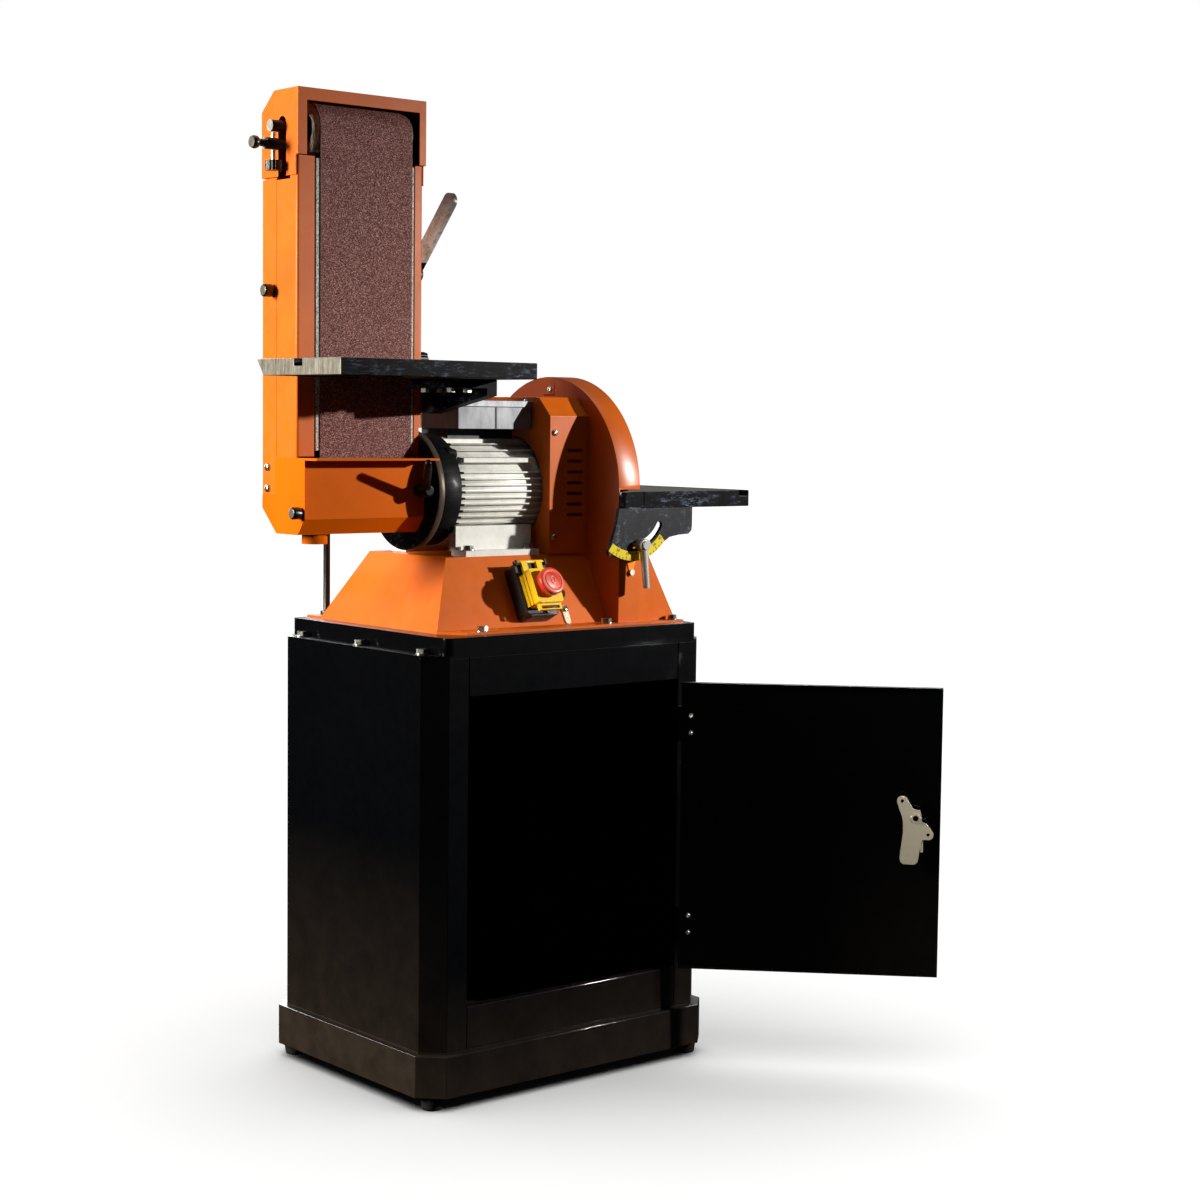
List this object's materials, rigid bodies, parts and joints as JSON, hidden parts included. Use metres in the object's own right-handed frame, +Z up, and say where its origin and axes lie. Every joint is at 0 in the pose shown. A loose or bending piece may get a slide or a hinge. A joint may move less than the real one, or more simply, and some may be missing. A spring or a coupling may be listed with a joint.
{
  "type": "belt and disc sander",
  "caption": "Floor-standing belt and disc sander: upright sanding belt arm and sanding disc driven by one motor, each with a tilting table, on a closed cabinet with a door",
  "frame": {"origin": "bottom centre of the whole machine's box, on the floor, with the door standing open as at rest", "axes": "+X along the cabinet front to the right (towards the disc), +Y to the back, +Z up"},
  "size_m": [0.869, 0.6996, 1.376],
  "materials": {
    "paint_orange": "satin orange enamel on sheet steel",
    "paint_black": "gloss black enamel on sheet steel",
    "cast_black": "black painted casting with machined faces",
    "cast_grey": "grey painted casting",
    "motor_black": "black painted casting",
    "motor_silver": "silver painted aluminium",
    "steel": "machined steel",
    "zinc": "bright zinc",
    "black_steel": "black oxide steel",
    "copper": "lacquered copper winding and steel laminations, inside the motor",
    "rubber_black": "black rubber",
    "plastic_black": "black moulded plastic",
    "plastic_yellow": "yellow moulded plastic",
    "plastic_red": "red moulded plastic",
    "plastic_green": "green moulded plastic",
    "abrasive": "dark brown aluminium oxide grit on cloth",
    "graphite": "graphite cloth on steel platen"
  },
  "bodies": {
    "stand": {"rubber_feet": "rubber_black", "plinth": "paint_black", "cabinet_floor": "paint_black", "cabinet_left_side": "paint_black", "cabinet_right_side": "paint_black", "cabinet_back": "paint_black", "cabinet_front_panels": "paint_black", "cabinet_top": "paint_black", "top_tray": "paint_black", "door_hinge_fixed_leaves": "black_steel", "machine_base": "paint_orange", "cable_gland": "plastic_black", "disc_guard": "paint_orange", "disc_dust_hopper": "paint_orange", "tilt_pointer": "paint_orange", "motor_cover": "paint_orange", "motor_body": "motor_silver", "motor_drive_bell": "motor_black", "motor_disc_bell": "motor_black", "stator": "copper", "motor_bearings": "steel", "terminal_box": "motor_silver", "terminal_box_lid": "motor_silver", "hex_bolts": "zinc", "arm_rest_rod": "black_steel", "switch_box": "plastic_black"},
    "rotor": {"rotor_and_shaft": "steel", "cooling_fan": "plastic_black", "drive_drum": "steel", "disc_plate": "motor_silver", "abrasive_disc": "abrasive"},
    "arm": {"arm_frame": "paint_orange", "upper_cover": "paint_orange", "rear_cover": "paint_orange", "lower_guard": "paint_orange", "platen": "steel", "sanding_belt": "abrasive", "pivot_flange": "cast_black", "cover_knobs": "plastic_black", "arm_screws": "zinc", "tension_springs": "steel"},
    "idler_carriage": {"idler_carriage": "steel"},
    "idler_drum": {"idler_drum": "steel", "idler_bearings": "steel"},
    "tension_lever": {"tension_lever": "steel"},
    "tracking_screw": {"tracking_screw": "steel"},
    "tracking_lock_knob": {"tracking_lock_knob": "zinc"},
    "arm_lock_lever": {"arm_lock_lever": "plastic_black"},
    "belt_table": {"belt_table": "cast_black", "belt_table_bracket": "cast_black"},
    "belt_table_knob": {"belt_table_knob": "plastic_black"},
    "disc_table": {"disc_table": "cast_black", "disc_trunnions": "cast_grey"},
    "disc_table_lock_lever": {"disc_table_lock_lever": "black_steel"},
    "door": {"door": "paint_black"},
    "latch": {"latch_cam": "zinc", "latch_handle": "plastic_black"},
    "switch_cover": {"switch_cover": "plastic_yellow"},
    "stop_button": {"stop_button": "plastic_red"},
    "start_button": {"start_button": "plastic_green"}
  },
  "joints": [
    {"name": "shaft_spin", "type": "hinge", "parent": "stand", "child": "rotor", "pos_m": [-0.11453, 0.14277, 0.836], "axis": [1, 0, 0], "continuous": true},
    {"name": "arm_tilt", "type": "hinge", "parent": "stand", "child": "arm", "pos_m": [-0.15453, 0.14277, 0.836], "axis": [-1, 0, 0], "range_deg": [0, 90]},
    {"name": "idler_slide", "type": "slide", "parent": "arm", "child": "idler_carriage", "axis": [0, 0, 1], "range_m": [-0.004, 0], "deforming": ["tension_springs"]},
    {"name": "idler_spin", "type": "hinge", "parent": "idler_carriage", "child": "idler_drum", "pos_m": [-0.25953, 0.14277, 1.326], "axis": [1, 0, 0], "continuous": true},
    {"name": "tension_lever", "type": "hinge", "parent": "arm", "child": "tension_lever", "pos_m": [-0.12853, 0.14277, 1.14], "axis": [1, 0, 0], "range_deg": [0, 75]},
    {"name": "tracking_screw", "type": "hinge", "parent": "idler_carriage", "child": "tracking_screw", "pos_m": [-0.38503, 0.14277, 1.28], "axis": [0, 0, 1], "range_deg": [-180, 180]},
    {"name": "tracking_lock", "type": "hinge", "parent": "idler_carriage", "child": "tracking_lock_knob", "pos_m": [-0.40453, 0.14277, 1.302], "axis": [1, 0, 0], "range_deg": [-180, 180]},
    {"name": "arm_lock", "type": "hinge", "parent": "arm", "child": "arm_lock_lever", "pos_m": [-0.18453, 0.07277, 0.837], "axis": [0, 1, 0], "range_deg": [-60, 60]},
    {"name": "belt_table_tilt", "type": "hinge", "parent": "arm", "child": "belt_table", "pos_m": [-0.13653, 0.11277, 0.964], "axis": [1, 0, 0], "range_deg": [0, 45]},
    {"name": "belt_table_lock", "type": "hinge", "parent": "arm", "child": "belt_table_knob", "pos_m": [-0.14953, 0.13477, 1.021], "axis": [1, 0, 0], "range_deg": [-90, 90]},
    {"name": "disc_table_tilt", "type": "hinge", "parent": "stand", "child": "disc_table", "pos_m": [0.10547, 0.14277, 0.815], "axis": [0, 1, 0], "range_deg": [0, 45]},
    {"name": "disc_table_lock", "type": "hinge", "parent": "stand", "child": "disc_table_lock_lever", "pos_m": [0.11732, -0.04723, 0.75925], "axis": [0, 1, 0], "range_deg": [-60, 60]},
    {"name": "door_swing", "type": "hinge", "parent": "stand", "child": "door", "pos_m": [0.17572, -0.06623, 0.35], "axis": [0, 0, 1], "range_deg": [-134, 20]},
    {"name": "latch_turn", "type": "hinge", "parent": "door", "child": "latch", "pos_m": [0.39945, -0.32526, 0.374], "axis": [-0.7193, -0.6947, 0], "range_deg": [0, 90]},
    {"name": "switch_cover", "type": "hinge", "parent": "stand", "child": "switch_cover", "pos_m": [-0.04053, 0.01657, 0.73675], "axis": [-1, 0, 0], "range_deg": [0, 100]},
    {"name": "stop_press", "type": "slide", "parent": "switch_cover", "child": "stop_button", "axis": [0, 0.8872, -0.4614], "range_m": [0, 0.005], "stiffness_N_per_m": 400},
    {"name": "start_press", "type": "slide", "parent": "stand", "child": "start_button", "axis": [0, 0.8872, -0.4614], "range_m": [0, 0.003], "stiffness_N_per_m": 300}
  ],
  "couplings": [
    {"joint": "idler_slide", "follows": "tension_lever", "m_per_rad": -0.00305},
    {"joint": "idler_spin", "follows": "shaft_spin", "ratio": 1}
  ]
}
